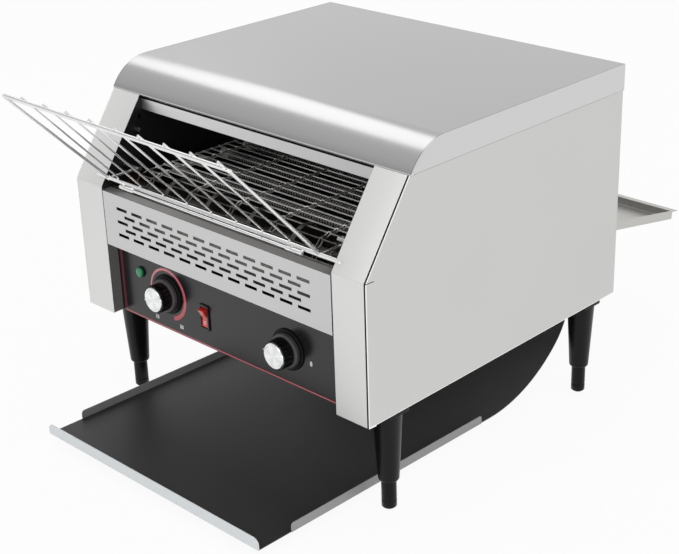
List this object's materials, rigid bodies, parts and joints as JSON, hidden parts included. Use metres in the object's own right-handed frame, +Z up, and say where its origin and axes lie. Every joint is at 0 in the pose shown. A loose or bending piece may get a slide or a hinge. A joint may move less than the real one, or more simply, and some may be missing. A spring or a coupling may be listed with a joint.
{
  "type": "conveyor toaster",
  "caption": "Counter-top conveyor toaster: tilting wire loading rack, driven wire belt between heater tubes, curved front chute, sloping rear tray, knobs and screw-out feet.",
  "frame": {"origin": "on the floor under the middle of the bounding box", "axes": "+X to the machine's left as it faces the user (the viewer's right), +Y from the front to the back, +Z up"},
  "size_m": [0.469, 0.7761, 0.4312],
  "materials": {
    "brushed_sheet": "fine vertical brushing, satin",
    "roof_sheet": "smooth satin",
    "plain_steel": "mill finish",
    "black_chamber": "matt black heat paint",
    "charcoal_panel": "satin charcoal print",
    "black_sheet": "satin black",
    "bright_wire": "bright plated wire",
    "belt_wire": "drawn stainless wire, heat dulled",
    "quartz": "frosted quartz tube",
    "ceramic": "glazed white ceramic",
    "bronze": "sintered bronze",
    "motor_black": "semi-gloss black",
    "black_plastic": "matt black",
    "knob_black": "fine matt black",
    "knob_silver": "spun face",
    "rocker_red": "translucent red",
    "lamp_green": "translucent green",
    "leg_black": "matt black moulding",
    "foot_black": "hard rubber",
    "edging_steel": "satin",
    "tray_steel": "satin",
    "board_green": "solder mask",
    "screw_steel": "zinc plated"
  },
  "bodies": {
    "housing": {"left_side_panel": "brushed_sheet", "right_side_panel": "brushed_sheet", "left_front_post": "brushed_sheet", "right_front_post": "brushed_sheet", "top_cover": "roof_sheet", "rear_panel": "plain_steel", "base_plate": "plain_steel", "vent_panel": "brushed_sheet", "control_panel": "charcoal_panel", "opening_lintel": "brushed_sheet", "left_inner_wall": "black_chamber", "right_inner_wall": "black_chamber", "upper_reflector": "black_chamber", "lower_reflector": "black_chamber", "electrics_shield": "plain_steel", "upper_heater_tubes": "quartz", "lower_heater_tubes": "quartz", "heater_caps": "ceramic", "shaft_bushes": "bronze", "gear_motor": "motor_black", "fan_frame": "black_plastic", "terminal_block": "black_plastic", "speed_board": "board_green", "heat_switch": "black_plastic", "speed_pot": "black_plastic", "knob_collars": "knob_silver", "rocker_frame": "black_plastic", "pilot_lens": "lamp_green", "pilot_body": "black_plastic", "rack_pins": "bright_wire", "chute_rails": "plain_steel", "tray_rails": "plain_steel", "legs": "leg_black", "leg_bolts": "screw_steel", "panel_screws": "screw_steel", "cable_gland": "black_plastic", "belt_runs": "belt_wire", "belt_bends": "belt_wire", "drive_chain": "screw_steel"},
    "drive_roller": {"drive_shaft": "plain_steel", "drive_wheels": "plain_steel", "chain_wheel": "plain_steel"},
    "idler_roller": {"idler_shaft": "plain_steel", "idler_wheels": "plain_steel"},
    "motor_output": {"motor_sprocket": "plain_steel"},
    "fan_impeller": {"fan_rotor": "black_plastic"},
    "heat_selector": {"heat_knob": "knob_black", "heat_knob_cap": "knob_silver"},
    "speed_selector": {"speed_knob": "knob_black", "speed_knob_cap": "knob_silver"},
    "power_rocker": {"rocker_button": "rocker_red"},
    "bread_rack": {"rack_frame": "bright_wire", "rack_wires": "bright_wire"},
    "discharge_chute": {"toast_chute": "black_sheet", "chute_edging": "edging_steel"},
    "crumb_tray": {"rear_tray": "tray_steel"},
    "foot_front_left": {"front_left_foot": "foot_black"},
    "foot_front_right": {"front_right_foot": "foot_black"},
    "foot_rear_left": {"rear_left_foot": "foot_black"},
    "foot_rear_right": {"rear_right_foot": "foot_black"}
  },
  "joints": [
    {"name": "drive_spin", "type": "hinge", "parent": "housing", "child": "drive_roller", "pos_m": [0, 0.03371, 0.27682], "axis": [-1, 0, 0], "continuous": true, "deforming": ["belt_runs", "belt_bends", "drive_chain"]},
    {"name": "idler_spin", "type": "hinge", "parent": "housing", "child": "idler_roller", "pos_m": [0, -0.21829, 0.27682], "axis": [-1, 0, 0], "continuous": true},
    {"name": "motor_spin", "type": "hinge", "parent": "housing", "child": "motor_output", "pos_m": [0, 0.03371, 0.18792], "axis": [-1, 0, 0], "continuous": true},
    {"name": "fan_spin", "type": "hinge", "parent": "housing", "child": "fan_impeller", "pos_m": [-0.06, -0.17429, 0], "axis": [0, 0, 1], "continuous": true},
    {"name": "heat_knob_turn", "type": "hinge", "parent": "housing", "child": "heat_selector", "pos_m": [-0.0982, -0.25129, 0.1713], "axis": [0, 1, 0], "range_deg": [0, 270]},
    {"name": "speed_knob_turn", "type": "hinge", "parent": "housing", "child": "speed_selector", "pos_m": [0.1015, -0.25129, 0.1668], "axis": [0, 1, 0], "range_deg": [0, 270]},
    {"name": "rocker_tilt", "type": "hinge", "parent": "housing", "child": "power_rocker", "pos_m": [-0.034, -0.24629, 0.162], "axis": [-1, 0, 0], "range_deg": [0, 16]},
    {"name": "rack_tilt", "type": "hinge", "parent": "housing", "child": "bread_rack", "pos_m": [0, -0.26142, 0.29835], "axis": [-1, 0, 0], "range_deg": [0, 40]},
    {"name": "chute_slide", "type": "slide", "parent": "housing", "child": "discharge_chute", "axis": [0, -1, 0], "range_m": [0, 0.33]},
    {"name": "tray_slide", "type": "slide", "parent": "housing", "child": "crumb_tray", "axis": [0, 0.982, -0.1891], "range_m": [-0.19, 0.02]},
    {"name": "foot_front_left_screw", "type": "slide", "parent": "housing", "child": "foot_front_left", "axis": [0, 0, -1], "range_m": [-0.02, 0.01]},
    {"name": "foot_front_right_screw", "type": "slide", "parent": "housing", "child": "foot_front_right", "axis": [0, 0, -1], "range_m": [-0.02, 0.01]},
    {"name": "foot_rear_left_screw", "type": "slide", "parent": "housing", "child": "foot_rear_left", "axis": [0, 0, -1], "range_m": [-0.02, 0.01]},
    {"name": "foot_rear_right_screw", "type": "slide", "parent": "housing", "child": "foot_rear_right", "axis": [0, 0, -1], "range_m": [-0.02, 0.01]}
  ],
  "couplings": [
    {"joint": "idler_spin", "follows": "drive_spin", "ratio": 1},
    {"joint": "motor_spin", "follows": "drive_spin", "ratio": 1}
  ]
}
